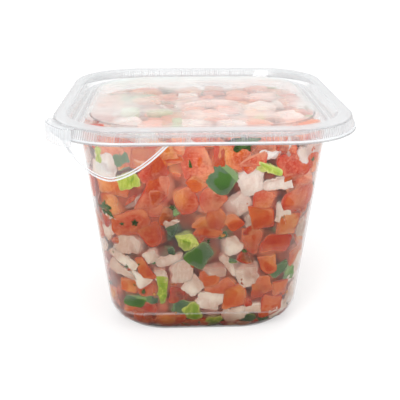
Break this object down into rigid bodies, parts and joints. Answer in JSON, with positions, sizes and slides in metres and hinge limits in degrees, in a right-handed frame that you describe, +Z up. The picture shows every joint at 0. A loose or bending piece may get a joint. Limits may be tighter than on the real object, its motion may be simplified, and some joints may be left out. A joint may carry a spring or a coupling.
{
  "type": "pico de gallo in a lidded deli tub",
  "caption": "Fresh chopped tomato, onion, green pepper and cilantro filling a clear square plastic tub, shut with a clear press-on lid that has a pull tab at one corner.",
  "frame": {"origin": "middle of the underside of the tub's base, which is the bottom centre of the bounding box", "axes": "+Z up out of the tub; -Y towards the front side, where the pull tab hangs beside the left corner; +X to the right seen from the front"},
  "size_m": [0.124, 0.124, 0.0984],
  "materials": {
    "tub_plastic": "thin clear formed plastic, glossy",
    "lid_plastic": "thin clear formed plastic, glossy, with a finely ribbed skirt",
    "chopped_vegetables": "wet diced tomato, onion, green pepper and cilantro in their juice"
  },
  "bodies": {
    "root": {"tub": "tub_plastic", "lid": "lid_plastic", "pico_de_gallo": "chopped_vegetables"}
  },
  "joints": []
}
